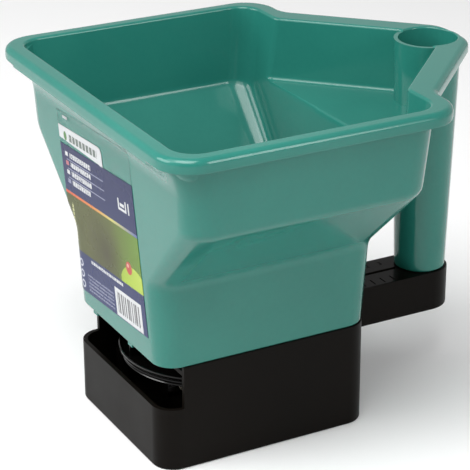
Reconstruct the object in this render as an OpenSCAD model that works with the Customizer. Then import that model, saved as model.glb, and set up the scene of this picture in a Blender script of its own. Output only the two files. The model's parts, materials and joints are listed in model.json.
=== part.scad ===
// Hand-held garden spreader: an open hopper with a tube handle stands on a housing
// that holds a crank-driven spinner. Millimetres, +Z up, the front label faces -Y.
// Origin: on the floor, on the spinner's vertical axis.

/* [Hopper] */
// Hopper floor height above the ground
hopper_z = 59.5; // [50:0.5:80]
// Height of the rim above the ground
rim_z = 196.8; // [160:0.2:240]
// Half width of the narrow lower part
low_a = 53.6; // [45:0.2:65]
// Half width of the tray where the slopes end
tray_a = 100; // [80:0.5:120]
// Half width of the rim's outer edge
rim_a = 108.9; // [90:0.1:125]
// Level where the slopes start
slope_z0 = 106.5; // [90:0.5:120]
// Level where the slopes end
slope_z1 = 150.8; // [130:0.2:170]
// Front face at the hopper floor
front_low = -53.4; // [-60:0.2:-45]
// Front face at the rim's level
front_high = -61.2; // [-70:0.2:-50]
// Rear face at the hopper floor
rear_low = 72; // [60:0.5:85]
// Rear face at the rim's level
rear_high = 84; // [70:0.5:100]
// Front edge of the rim
rim_front = -73.5; // [-85:0.5:-60]
// Rear edge of the rim beside the diagonals
rim_rear = 92.8; // [85:0.2:110]
// Rim skirt height
lip_h = 7.6; // [4:0.2:12]
// Moulded wall thickness
wall = 2.5; // [1.5:0.1:4]

/* [Handle tube] */
// Tube centre behind the spinner axis
tube_y = 139.5; // [120:0.5:160]
// Tube outer radius at its foot
tube_r0 = 14.65; // [12:0.05:20]
// Tube outer radius at the rim
tube_r1 = 18.75; // [14:0.05:24]
// Tube wall
tube_wall = 2.3; // [1.5:0.1:4]

/* [Housing] */
// Half width of the housing
house_a = 54.5; // [45:0.5:65]
// Front face of the housing
house_front = -54.6; // [-65:0.2:-45]
// Rear face of the housing
house_rear = 72.3; // [60:0.1:85]
// Vertical corner radius
house_rc = 12.5; // [4:0.5:20]
// Sill height of the discharge notch
sill_z = 35.6; // [25:0.2:45]
// Rear edge of the discharge notch
notch_y = -41.3; // [-50:0.1:-20]
// Underside of the rear arm
arm_z = 35.7; // [25:0.1:45]
// Half width of the rear arm
arm_r = 16.1; // [15:0.1:25]

/* [Drive] */
// Crank axis height
crank_z = 18.5; // [16:0.1:24]
// Teeth on the crown gear
crown_teeth = 26; // [20:1:32]
// Teeth on the pinion
pinion_teeth = 12; // [10:1:16]
// Crank length
crank_len = 42; // [30:1:60]
// Spinner radius
spin_r = 48.7; // [40:0.1:50]

/* [Shutter] */
// Shutter travel
travel = 26; // [15:1:30]

/* [Hidden] */
$fn = 96;
e = 0.01;
top_t = 2.5;
deck_z = hopper_z;
slot_y1 = 123.6;
tilt = atan2(front_low - front_high, rim_z - hopper_z);

function front_at(z) = front_low + (front_high - front_low) * (z - hopper_z) / (rim_z - hopper_z);
function rear_at(z) = rear_low + (rear_high - rear_low) * (z - hopper_z) / (rim_z - hopper_z);
function arc(cy, cz, r, a0, a1, n) =
  [for (i = [0 : n]) [cy + r * cos(a0 + (a1 - a0) * i / n), cz + r * sin(a0 + (a1 - a0) * i / n)]];

// rounded rectangle: half width a, from y = f to y = r, corner radius rc
module rounded(a, f, r, rc, fn = 96) {
  translate([-a + rc, f]) square([2 * (a - rc), r - f]);
  translate([-a, f + rc]) square([2 * a, r - f - 2 * rc]);
  for (x = [-1, 1], y = [f + rc, r - rc])
    translate([x * (a - rc), y]) circle(r = rc, $fn = fn);
}

// a very thin slice of that outline, for lofting
module slice(a, f, r, rc, z) {
  translate([0, 0, z]) linear_extrude(0.02) rounded(a, f, r, rc, 32);
}

// the triangle that runs back to the tube: both sides at 45 degrees
module wedge(reach, y0, y1) {
  intersection() {
    translate([0, reach]) rotate(45) translate([-300, -300]) square(300);
    translate([-150, y0]) square([300, y1 - y0]);
  }
}

// bar along X, used for the profiles that are constant across the hopper
module across(half) {
  rotate([90, 0, 90]) linear_extrude(2 * half, center = true) children();
}

/* ---------- hopper ---------- */
module rim_outline(d) {
  rounded(rim_a - d, rim_front + d, rim_rear - d, 20 - d);
  wedge(172.4 - d * sqrt(2), 84, 147);
  intersection() {
    wedge(172.4 - d * sqrt(2), 140, 160);
    translate([0, tube_y - 51.2]) circle(r = 70 - d);
  }
}

module mouth_outline() {
  rounded(100.3, -63.2, 81.5, 12);
  wedge(150.2, 60, tube_y);
}

module hopper_outside(g = 0) {
  hull() {
    slice(low_a + g, front_low - g, rear_low + g, 12.5 + g, hopper_z);
    slice(low_a + g, front_at(slope_z0) - g, rear_at(slope_z0) + g, 12.5 + g, slope_z0);
  }
  hull() {
    slice(low_a + g, front_at(slope_z0) - g, rear_at(slope_z0) + g, 12.5 + g, slope_z0);
    slice(tray_a + g, front_at(slope_z1) - g, rear_at(slope_z1) + g, 16 + g, slope_z1);
  }
  hull() {
    slice(tray_a + g, front_at(slope_z1) - g, rear_at(slope_z1) + g, 16 + g, slope_z1);
    slice(102.4 + g, front_high - g, rear_high + g, 16 + g, rim_z - 0.02);
  }
}

module hopper_inside() {
  z0 = slope_z0 + 1;
  z1 = slope_z1 + 1;
  hull() {
    slice(low_a - wall, front_low + wall, rear_low - wall, 10, hopper_z + wall);
    slice(low_a - wall, front_at(z0) + wall, rear_at(z0) - wall, 10, z0);
  }
  hull() {
    slice(low_a - wall, front_at(z0) + wall, rear_at(z0) - wall, 10, z0);
    slice(tray_a - wall - 0.2, front_at(z1) + wall, rear_at(z1) - wall, 13, z1);
  }
  hull() {
    slice(tray_a - wall - 0.2, front_at(z1) + wall, rear_at(z1) - wall, 13, z1);
    slice(99.9, front_high + wall, rear_high - wall, 13, rim_z + 1);
  }
}

// concave sweep that carries the front face out to the rim
module front_flare() {
  intersection() {
    across(102) polygon(concat([[-50, 168], [-50, rim_z], [rim_front, rim_z]],
                               arc(-81.5, 168, 22, 68, 0, 12)));
    translate([0, 0, 150]) linear_extrude(60) rounded(100.7, rim_front + 0.3, 40, 18);
  }
}

module front_flare_inside() {
  intersection() {
    across(110) polygon(concat([[-40, 168], [-40, rim_z + 1], [-63.2, rim_z + 1]],
                               arc(-81.5, 168, 24.5, 41.6, 0, 8)));
    translate([0, 0, 150]) linear_extrude(60) rounded(98.6, -63.2, 40, 12.5);
  }
}

module tube_solid() {
  translate([0, tube_y, 0]) rotate_extrude()
    polygon([[0, deck_z], [tube_r0, deck_z], [tube_r1, rim_z], [0, rim_z]]);
}

module tube_hollow() {
  translate([0, tube_y, 0]) rotate_extrude()
    polygon([[0, deck_z + wall], [tube_r0 - tube_wall, deck_z + wall], [tube_r1 - tube_wall, rim_z],
             [tube_r1 - tube_wall, rim_z + 1], [0, rim_z + 1]]);
}

module hopper() {
  color([0.36, 0.66, 0.61]) {
    difference() {
      union() {
        difference() {
          union() {
            hopper_outside();
            front_flare();
            translate([0, 0, 157.5]) linear_extrude(rim_z - 157.5) wedge(153.7, 70, tube_y);
            translate([0, 0, rim_z - top_t]) linear_extrude(top_t) rim_outline(0);
            translate([0, 0, rim_z - lip_h]) linear_extrude(lip_h) difference() {
              rim_outline(0);
              rim_outline(2.2);
            }
          }
          hopper_inside();
          front_flare_inside();
          translate([0, 0, 160]) linear_extrude(60) wedge(150.2, 60, tube_y);
          translate([0, 0, rim_z - top_t - e]) linear_extrude(10) rounded(99.9, -58.7, 81.5, 13);
        }
        tube_solid();
        translate([0, tube_y, deck_z + 1]) cylinder(r = 5, h = 12);
        for (x = [-38, 38], y = [-36, 56]) translate([x, y, hopper_z]) cylinder(r = 3.6, h = 11);
        translate([0, 0, hopper_z]) cylinder(r = 9.5, h = 3.2);
      }
      difference() {
        tube_hollow();
        translate([0, tube_y, deck_z]) cylinder(r = 5, h = 13);
      }
      translate([0, tube_y, deck_z - 1]) cylinder(r = 1.95, h = 12);
      for (x = [-38, 38], y = [-36, 56]) translate([x, y, hopper_z - 1]) cylinder(r = 1.55, h = 10);
      for (x = [8, -24]) translate([x, -30, hopper_z - 1]) cube([16, 24, 6]);
      translate([0, 0, hopper_z - 1]) cylinder(r = 6, h = 8);
    }
    // moulded locating tabs under the front edge
    for (x = [-32, 12]) translate([x, front_low + 0.2, hopper_z - 1.6]) cube([5, 2.2, 1.7]);
  }
}

// thin film that follows the front wall and its rounded corner
module front_label() {
  color([0.17, 0.2, 0.45]) difference() {
    intersection() {
      hopper_outside(0.3);
      translate([0, front_low, hopper_z]) rotate([90 + tilt, 0, 0]) translate([-50.1, 8.2, -6])
        rotate(3.8) linear_extrude(8) square([90, 97]);
    }
    hopper_outside();
  }
}

/* ---------- housing ---------- */
module arm_outline(d) {
  translate([-arm_r + d, 40]) square([2 * (arm_r - d), tube_y - 40]);
  translate([0, tube_y]) circle(r = arm_r - d);
}

module base_housing() {
  color([0.1, 0.1, 0.11]) difference() {
    union() {
      difference() {
        union() {
          linear_extrude(hopper_z) rounded(house_a, house_front, house_rear, house_rc);
          translate([0, 0, arm_z]) linear_extrude(deck_z - arm_z) arm_outline(0);
        }
        translate([0, 0, -1]) linear_extrude(hopper_z + 2)
          rounded(house_a - wall, house_front + wall, house_rear - wall, house_rc - wall);
        difference() {
          translate([0, 0, arm_z - 1]) linear_extrude(deck_z - 2 - arm_z + 1) arm_outline(2.2);
          translate([-100, -100, 0]) cube([200, 100 + house_rear, 100]);
        }
      }
      // panel that carries the shutter, with its two side rails
      translate([-house_a + 1, notch_y, 54]) cube([2 * house_a - 2, 68, 2.5]);
      for (x = [-31.4, 28.4]) translate([x, notch_y, 56]) cube([3, 112, 3.3]);
      // two rear shelves for the rear hopper screws
      intersection() {
        for (x = [33, -53]) translate([x, 47, 54]) cube([20, 24, 2.5]);
        linear_extrude(hopper_z) rounded(house_a - 1, house_front + 1, house_rear - 1, house_rc - 1);
      }
      // corner posts for the floor screws
      for (x = [-45, 45], y = [-30, 62]) translate([x, y, 2.7]) cylinder(r = 4, h = 22);
      for (x = [-1, 1], y = [-30, 62]) translate([x > 0 ? 45 : -53, y - 1.2, 2.7]) cube([8, 2.4, 22]);
      translate([0, tube_y, 50]) cylinder(r = 5, h = 9);
    }
    // discharge notch across the front
    translate([-100, -100, sill_z]) cube([200, 100 + notch_y, 60]);
    // windows in the panel and the spinner shaft's way through
    for (x = [6.5, -25.5]) translate([x, -32, 50]) cube([19, 27, 10]);
    translate([0, 0, 50]) cylinder(r = 6, h = 10);
    // shutter rod's way through the rear wall
    translate([-5.2, house_rear - 6, 54.2]) cube([10.4, 10, 3.3]);
    // slot for the slider
    translate([-1.3, 78, 50]) cube([2.6, slot_y1 - 78, 20]);
    // scale marks, cut shallow
    for (i = [0 : 4]) translate([7.7, 87.9 + i * 6.45, deck_z - 0.5]) cube([6.2, 0.8, 1]);
    // crank bush seat
    translate([-60, 0, crank_z]) rotate([0, 90, 0]) cylinder(r = 7.02, h = 12);
    // screws
    for (x = [-45, 45], y = [-30, 62]) translate([x, y, 0]) cylinder(r = 1.55, h = 20);
    for (x = [-38, 38], y = [-36, 56]) translate([x, y, 50]) cylinder(r = 1.8, h = 10);
    translate([0, tube_y, 40]) cylinder(r = 2.2, h = 30);
    translate([0, tube_y, 40]) cylinder(r = 4.2, h = 12.5);
  }
}

module floor_cover() {
  color([0.13, 0.13, 0.14]) difference() {
    linear_extrude(2.5)
      rounded(house_a - wall - 0.3, house_front + wall + 0.3, house_rear - wall - 0.3, house_rc - wall - 0.3);
    translate([0, 0, 0.8]) cylinder(r = 4.92, h = 4);
    for (x = [-45, 45], y = [-30, 62]) translate([x, y, -1]) {
      cylinder(r = 1.8, h = 5);
      cylinder(r = 3.6, h = 2.2);
    }
    for (y = [-11, 11]) translate([-21.5, y, 0.6]) cylinder(r = 1.25, h = 4);
  }
}

module pan_screw(r, h, head_r, head_h) {
  translate([0, 0, -head_h / 2]) cylinder(r = r, h = h + head_h / 2);
  difference() {
    translate([0, 0, -head_h]) cylinder(r = head_r, h = head_h);
    translate([-head_r * 0.6, -0.35, -head_h - 1]) cube([head_r * 1.2, 0.7, 1.4]);
    translate([-0.35, -head_r * 0.6, -head_h - 1]) cube([0.7, head_r * 1.2, 1.4]);
  }
}

module floor_screws() {
  color([0.6, 0.6, 0.62])
    for (x = [-45, 45], y = [-30, 62]) translate([x, y, 1.2]) pan_screw(1.5, 17, 3.2, 1);
}

module hopper_screws() {
  color([0.6, 0.6, 0.62])
    for (x = [-38, 38], y = [-36, 56]) translate([x, y, 54]) pan_screw(1.5, 13.5, 3, 1.6);
}

module handle_screw() {
  color([0.6, 0.6, 0.62]) translate([0, tube_y, 52.5]) pan_screw(1.9, 16.5, 4, 2);
}

/* ---------- bearings ---------- */
module lower_bush() {
  color([0.75, 0.73, 0.65]) translate([0, 0, 0.8]) difference() {
    cylinder(r = 4.9, h = 6.2);
    translate([0, 0, 1.2]) cylinder(r = 3.06, h = 10);
  }
}

module upper_bush() {
  color([0.75, 0.73, 0.65]) difference() {
    union() {
      translate([0, 0, hopper_z]) cylinder(r = 5.95, h = 6);
      translate([0, 0, hopper_z + 3.2]) cylinder(r = 8.5, h = 1.6);
    }
    translate([0, 0, hopper_z - 1]) cylinder(r = 3.06, h = 10);
  }
}

module crank_bush() {
  color([0.75, 0.73, 0.65]) translate([0, 0, crank_z]) rotate([0, 90, 0]) difference() {
    union() {
      translate([0, 0, -56.5]) cylinder(r = 7, h = 7);
      translate([0, 0, -56.5]) cylinder(r = 9.5, h = 2);
    }
    translate([0, 0, -60]) cylinder(r = 4.06, h = 20);
  }
}

module gear_bracket() {
  color([0.2, 0.2, 0.22]) difference() {
    union() {
      translate([-26, -16, 2.5]) cube([9, 32, 3]);
      translate([-24, -7.5, 2.5]) cube([6, 15, crank_z - 2.5]);
      translate([-24, 0, crank_z]) rotate([0, 90, 0]) cylinder(r = 7.5, h = 6);
    }
    translate([-30, 0, crank_z]) rotate([0, 90, 0]) cylinder(r = 4.06, h = 20);
    for (y = [-11, 11]) translate([-21.5, y, 0]) cylinder(r = 1.25, h = 10);
  }
}

module bracket_screws() {
  color([0.6, 0.6, 0.62])
    for (y = [-11, 11]) translate([-21.5, y, 5.5]) rotate([180, 0, 0]) pan_screw(1.2, 4.6, 2.4, 1.4);
}

/* ---------- spinner ---------- */
module spinner_disc() {
  color([0.08, 0.08, 0.09]) union() {
    rotate_extrude(convexity = 4) polygon([[3, 34], [8, 34], [8, 39], [40, 39], [45, 36.6],
      [46.6, 36.6], [46.6, 38.2], [47.4, 38.2], [47.4, 40.2], [48.1, 40.2], [48.1, 41.6],
      [spin_r, 41.6], [spin_r, 43.4], [47.4, 43.4], [46, 41.2], [9, 41.2], [7, 49.5], [3, 49.5]]);
    for (k = [0 : 3]) rotate(k * 90 - 6) translate([7, -0.8, 41]) cube([38, 1.6, 8]);
  }
}

module spinner_shaft() {
  color([0.75, 0.76, 0.78]) difference() {
    translate([0, 0, 2.3]) cylinder(r = 3, h = 73.7);
    translate([-5, 0, 72]) rotate([0, 90, 0]) cylinder(r = 1, h = 10);
  }
}

module spinner_pinion() {
  color([0.85, 0.84, 0.8]) difference() {
    union() {
      translate([0, 0, 29.2]) cylinder(r = 5, h = 4);
      for (i = [0 : pinion_teeth - 1]) rotate(i * 360 / pinion_teeth + 180 / pinion_teeth)
        translate([4, -0.44, 29.2]) cube([2.8, 0.88, 4]);
    }
    translate([0, 0, 20]) cylinder(r = 3, h = 20);
  }
}

module disc_clip() {
  color([0.6, 0.6, 0.62]) translate([0, 0, 49.7]) difference() {
    cylinder(r = 5, h = 1);
    translate([0, 0, -1]) cylinder(r = 3, h = 4);
  }
}

module agitator() {
  color([0.12, 0.12, 0.13]) difference() {
    union() {
      translate([0, 0, 68]) cylinder(r = 6, h = 9);
      for (k = [0, 120, 240]) rotate(k) translate([4, -1.5, 68.5]) cube([26, 3, 3]);
      for (k = [0, 120, 240]) rotate(k) translate([27, -1.5, 68.5]) cube([3, 3, 8]);
    }
    translate([0, 0, 60]) cylinder(r = 3, h = 16);
    translate([-10, 0, 72]) rotate([0, 90, 0]) cylinder(r = 1, h = 20);
  }
}

module agitator_pin() {
  color([0.7, 0.7, 0.72]) translate([-6, 0, 72]) rotate([0, 90, 0]) cylinder(r = 1, h = 12);
}

/* ---------- crank ---------- */
module crank_shaft() {
  color([0.75, 0.76, 0.78]) translate([0, 0, crank_z]) rotate([0, 90, 0]) difference() {
    translate([0, 0, -66]) cylinder(r = 4, h = 56.5);
    translate([0, 0, -67]) cylinder(r = 1.55, h = 12);
  }
}

module crown_gear() {
  color([0.85, 0.84, 0.8]) translate([0, 0, crank_z]) difference() {
    union() {
      translate([-10, 0, 0]) rotate([0, 90, 0]) cylinder(r = 14.2, h = 2.8);
      translate([-16.5, 0, 0]) rotate([0, 90, 0]) cylinder(r = 7, h = 7);
      for (i = [0 : crown_teeth - 1]) rotate([i * 360 / crown_teeth, 0, 0])
        translate([-8, -0.42, 11.2]) cube([2.6, 0.84, 2.8]);
    }
    translate([-20, 0, 0]) rotate([0, 90, 0]) cylinder(r = 4, h = 10.5);
  }
}

module shaft_clip() {
  color([0.6, 0.6, 0.62]) translate([-25.6, 0, crank_z]) rotate([0, 90, 0]) difference() {
    cylinder(r = 6, h = 1.1);
    translate([0, 0, -1]) cylinder(r = 4, h = 4);
  }
}

module crank_washer() {
  color([0.6, 0.6, 0.62]) translate([-57.8, 0, crank_z]) rotate([0, 90, 0]) difference() {
    cylinder(r = 7.5, h = 1);
    translate([0, 0, -1]) cylinder(r = 4, h = 4);
  }
}

module crank_arm() {
  color([0.1, 0.1, 0.11]) translate([0, 0, crank_z]) rotate([0, -90, 0]) difference() {
    union() {
      translate([0, 0, 57.8]) cylinder(r = 8, h = 8.2);
      translate([0, 0, 58.6]) linear_extrude(4.6) polygon([[7.9, 1.2], [5.6, crank_len + 0.8],
        [-5.6, crank_len + 0.8], [-7.9, 1.2]]);
      translate([0, crank_len, 57.8]) cylinder(r = 5.8, h = 6.2);
    }
    translate([0, 0, 50]) cylinder(r = 4, h = 30);
    translate([0, crank_len, 50]) cylinder(r = 2.5, h = 30);
  }
}

module crank_screw() {
  color([0.6, 0.6, 0.62]) translate([-66, 0, crank_z]) rotate([0, 90, 0]) pan_screw(1.5, 9, 6, 2);
}

module knob_pin() {
  color([0.7, 0.7, 0.72]) translate([0, crank_len, crank_z]) rotate([0, -90, 0]) {
    translate([0, 0, 57.8]) cylinder(r = 2.5, h = 34.2);
    translate([0, 0, 91.8]) cylinder(r = 4.2, h = 1.4);
  }
}

module crank_knob() {
  color([0.1, 0.1, 0.11]) translate([0, crank_len, crank_z]) rotate([0, -90, 0]) difference() {
    rotate_extrude() polygon(concat([[0, 64.5], [7.2, 64.5]],
      [for (t = [0 : 10]) [7.6 + 1.8 * sin(t * 18), 65.5 + t * 2.8]], [[7.2, 94.5], [0, 94.5]]));
    translate([0, 0, 60]) cylinder(r = 2.56, h = 50);
    translate([0, 0, 91.4]) cylinder(r = 4.8, h = 10);
  }
}

module knob_cap() {
  color([0.14, 0.14, 0.15]) translate([0, crank_len, crank_z]) rotate([0, -90, 0]) {
    translate([0, 0, 94.5]) cylinder(r = 6.6, h = 1.4);
    translate([0, 0, 93.6]) cylinder(r = 4.7, h = 1);
  }
}

/* ---------- shutter ---------- */
module shutter_plate() {
  color([0.7, 0.7, 0.68]) difference() {
    translate([-28, -32, 56.9]) cube([56, 74.4, 2.2]);
    translate([-3.7, -40, 50]) cube([7.4, 44, 20]);
    for (x = [-1, 1]) translate([x * 2, 36, 50]) cylinder(r = 0.9, h = 20);
  }
}

module shutter_rod() {
  color([0.7, 0.7, 0.68]) difference() {
    translate([-4, 29, 54.7]) cube([8, 69, 2.2]);
    for (x = [-1, 1]) translate([x * 2, 36, 50]) cylinder(r = 0.9, h = 20);
  }
}

module thumb_slider() {
  color([0.1, 0.1, 0.11]) union() {
    translate([-1, 84, 56.9]) cube([2, 8, 4]);
    translate([-7, 80, deck_z + 0.4]) cube([14, 16, 2.4]);
    difference() {
      translate([-6, 80.8, deck_z + 2.8]) cube([12, 14.4, 5]);
      for (i = [0 : 3]) translate([-7, 82.6 + i * 3, deck_z + 6.9]) cube([14, 1.2, 2]);
    }
  }
}

module slider_rivets() {
  color([0.6, 0.6, 0.62]) for (x = [-1, 1]) translate([x * 2, 36, 54.7]) cylinder(r = 0.9, h = 4.4);
}

hopper();
front_label();
base_housing();
floor_cover();
floor_screws();
hopper_screws();
handle_screw();
lower_bush();
upper_bush();
crank_bush();
gear_bracket();
bracket_screws();
spinner_disc();
spinner_shaft();
spinner_pinion();
disc_clip();
agitator();
agitator_pin();
crank_shaft();
crown_gear();
shaft_clip();
crank_washer();
crank_arm();
crank_screw();
knob_pin();
crank_knob();
knob_cap();
shutter_plate();
shutter_rod();
thumb_slider();
slider_rivets();
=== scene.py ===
# %% [markdown]
# # A hand spreader for grass seed and fertiliser
# The tool has a moulded hopper with a hollow tube for a grip, and a black housing with a spinner.
# A crank on the far side drives the spinner, and a slider on the rear arm opens the shutter.
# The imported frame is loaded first. It says where every part is, so the looks are built around it.

# %% Load the frame
import json
import math

import bmesh
import bpy
from mathutils import Matrix, Vector


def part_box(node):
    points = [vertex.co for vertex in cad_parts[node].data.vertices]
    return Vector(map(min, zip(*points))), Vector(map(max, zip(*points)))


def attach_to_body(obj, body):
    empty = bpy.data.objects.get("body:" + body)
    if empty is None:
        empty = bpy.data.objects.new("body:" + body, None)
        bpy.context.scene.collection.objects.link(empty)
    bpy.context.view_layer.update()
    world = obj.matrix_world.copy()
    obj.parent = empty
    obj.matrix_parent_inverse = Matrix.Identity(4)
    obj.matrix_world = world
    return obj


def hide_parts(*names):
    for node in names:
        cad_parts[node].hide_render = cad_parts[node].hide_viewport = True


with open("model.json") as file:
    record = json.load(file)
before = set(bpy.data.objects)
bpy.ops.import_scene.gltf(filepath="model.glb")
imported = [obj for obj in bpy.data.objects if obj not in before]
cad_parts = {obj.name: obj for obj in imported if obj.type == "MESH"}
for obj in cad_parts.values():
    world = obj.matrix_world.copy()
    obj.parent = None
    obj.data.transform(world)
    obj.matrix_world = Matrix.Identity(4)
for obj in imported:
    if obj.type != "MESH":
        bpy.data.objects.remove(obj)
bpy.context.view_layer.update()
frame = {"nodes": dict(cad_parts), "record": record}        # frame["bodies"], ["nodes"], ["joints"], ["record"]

# %% [markdown]
# ## Driving dimensions
# A moulded part is described by a few levels and widths. The outer ones are read from the frame,
# so the finished surfaces land exactly where the frame's solids are. The rest are wall thicknesses
# and radii, in millimetres here because that is how a mould maker would say them.

# %% Read the driving dimensions
MM = 0.001


def in_mm(node):
    low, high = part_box(node)
    return low / MM, high / MM


hopper_low, hopper_high = in_mm("hopper")
housing_low, housing_high = in_mm("base_housing")
screw_low, screw_high = in_mm("handle_screw")

joint_z = housing_high.z
rim_z = hopper_high.z
rim_half = hopper_high.x
rim_front = hopper_low.y
tube_y = (screw_low.y + screw_high.y) / 2
collar_back = hopper_high.y
arm_radius = housing_high.y - tube_y
housing_half = housing_high.x
housing_front = housing_low.y
print(f"joint at {joint_z:.1f}, rim at {rim_z:.1f}, tube centre {tube_y:.1f} behind the spinner")

# %% [markdown]
# ## Outlines and skins
# Every level of the hopper is a rounded outline. A few corner points are rounded by a vertex bevel,
# which is quicker than placing arcs by hand. A skin then grows ring by ring: the last ring is
# extruded and each of its points moves to the same point of the next outline. Because every outline
# has the same corners, the faces run cleanly from the floor to the rim and back down inside.

# %% Helpers for outlines and skins
CORNER_STEPS = 8


def rounded_outline(corners, cuts):
    """Corner points of a flat outline, each cut back by its own length and rounded."""
    sheet = bmesh.new()
    points = [sheet.verts.new((x, y, 0)) for x, y in corners]
    sheet.faces.new(points)
    for point, cut in zip(points, cuts):
        bmesh.ops.bevel(sheet, geom=[point], offset=cut, offset_type="OFFSET", segments=CORNER_STEPS,
                        profile=0.5, affect="VERTICES", material=-1, clamp_overlap=False)
    sheet.faces.ensure_lookup_table()
    ring = [loop.vert.co.copy() for loop in sheet.faces[0].loops]
    sheet.free()
    first, last = Vector((*corners[0], 0)), Vector((*corners[-1], 0))
    start = first + (last - first).normalized() * cuts[0]
    shift = min(range(len(ring)), key=lambda i: (ring[i] - start).length)
    ring = ring[shift:] + ring[:shift]
    return ring


def at_level(outline, z):
    return [Vector((p.x, p.y, z)) * MM for p in outline]


class Skin:
    """A moulded wall that grows ring by ring."""

    def __init__(self, places):
        self.mesh = bmesh.new()
        self.ring = [self.mesh.verts.new(p) for p in places]
        self.first = self.edges(make=True)

    def edges(self, make=False):
        pairs = zip(self.ring, self.ring[1:] + self.ring[:1])
        if make:
            return [self.mesh.edges.new(pair) for pair in pairs]
        return [self.mesh.edges.get(pair) for pair in pairs]

    def grow(self, places):
        made = bmesh.ops.extrude_edge_only(self.mesh, edges=self.edges())["geom"]
        fresh = {v for v in made if isinstance(v, bmesh.types.BMVert)}
        twins = [next(e.other_vert(v) for e in v.link_edges if e.other_vert(v) in fresh) for v in self.ring]
        self.ring = twins
        for vert, place in zip(twins, places):
            vert.co = place

    def cap(self, edges=None):
        bmesh.ops.contextual_create(self.mesh, geom=edges or self.edges())

    def close(self):
        bmesh.ops.bridge_loops(self.mesh, edges=self.first + self.edges())


print("outline of a square:", len(rounded_outline([(-9, -9), (9, -9), (9, 9), (-9, 9)], [2] * 4)), "points")

# %% [markdown]
# ## Turned shapes, blocks and cuts
# The tube, its bore and the spinner are round, so their half sections are spun about an axis.
# Ribs and windows are plain blocks. Blocks and bores are joined to a skin or cut from it with the
# exact boolean, as pockets and cores are in a mould, and a small bevel takes the sharpness off.


# %% Helpers for turned shapes and blocks
MERGE = 1e-6


def turned(profile, centre=(0, 0, 0), axis="Z", steps=72, mesh=None):
    """Spins a half section, given as (radius, height) points, about an axis through the centre."""
    shape = mesh or bmesh.new()
    spin_axis = {"Z": Vector((0, 0, 1)), "X": Vector((1, 0, 0))}[axis]
    side = {"Z": Vector((1, 0, 0)), "X": Vector((0, 0, 1))}[axis]
    middle = Vector(centre) * MM
    verts = [shape.verts.new(middle + (side * r + spin_axis * h) * MM) for r, h in profile]
    edges = [shape.edges.new(pair) for pair in zip(verts, verts[1:])]
    bmesh.ops.spin(shape, geom=verts + edges, cent=middle, axis=spin_axis, angle=math.tau,
                   steps=steps, use_merge=True)
    bmesh.ops.remove_doubles(shape, verts=shape.verts[:], dist=MERGE)
    bmesh.ops.recalc_face_normals(shape, faces=shape.faces[:])
    return shape


def block(shape, x, y, z):
    """Adds a box between two values on each axis."""
    sizes = [(b - a) * MM for a, b in (x, y, z)]
    middle = Vector([(a + b) / 2 * MM for a, b in (x, y, z)])
    place = Matrix.Translation(middle) @ Matrix.Diagonal((*sizes, 1))
    return bmesh.ops.create_cube(shape, size=1, matrix=place)["verts"]


# %% Helpers for pieces and their edges
def as_object(shape, name):
    mesh = bpy.data.meshes.new(name)
    shape.to_mesh(mesh)
    shape.free()
    piece = bpy.data.objects.new(name, mesh)
    bpy.context.scene.collection.objects.link(piece)
    return piece


def meshed(piece):
    """The mesh of a piece as it looks with its modifiers."""
    bpy.context.view_layer.update()
    return bpy.data.meshes.new_from_object(piece.evaluated_get(bpy.context.evaluated_depsgraph_get()))


def settle(piece):
    """Makes a piece's modifiers part of its mesh."""
    settled = meshed(piece)
    piece.modifiers.clear()
    piece.data = settled


def combine(piece, shape, operation):
    tool = as_object(shape, "tool")
    change = piece.modifiers.new(operation.lower(), "BOOLEAN")
    change.operation = operation
    change.solver = "EXACT"
    change.object = tool
    settle(piece)
    bpy.data.objects.remove(tool)


def attach(piece, extra):
    """Adds another piece's mesh as it is, and removes that piece."""
    whole = bmesh.new()
    whole.from_mesh(piece.data)
    whole.from_mesh(extra.data)
    whole.to_mesh(piece.data)
    whole.free()
    bpy.data.objects.remove(extra)


def soften(piece, width, angle=40, segments=2):
    """A narrow bevel on the sharp edges, as every moulded or cut edge has."""
    edge = piece.modifiers.new("edge", "BEVEL")
    edge.limit_method = "ANGLE"
    edge.angle_limit = math.radians(angle)
    edge.width = width * MM
    edge.segments = segments
    settle(piece)


def smooth(piece, angle=32):
    """Smooth shading that keeps real corners crisp and flat faces flat."""
    piece.data.shade_smooth()
    piece.data.set_sharp_from_angle(angle=math.radians(angle))
    even = piece.modifiers.new("even", "WEIGHTED_NORMAL")
    even.keep_sharp = True


def dress(piece, body, material, slot, *nodes):
    """Gives a finished piece its finish, its body and the nodes it stands for. The slot argument is not used.
    """
    piece.data.materials.clear()
    piece.data.materials.append(material)
    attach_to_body(piece, body)
    if nodes:
        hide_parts(*nodes)
    print(f"{piece.name}: {len(piece.data.polygons)} faces on {body}")


# %% [markdown]
# ## Finishes
# A finish is a small network of nodes. Wires carry values between them. Wrapping a wire in a class
# lets sums and comparisons be written as plain expressions, and one method makes any other node.
# Only colour, roughness, bump and alpha vary over a surface. Everything else is one value for the
# whole part, set on the shader itself.


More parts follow.
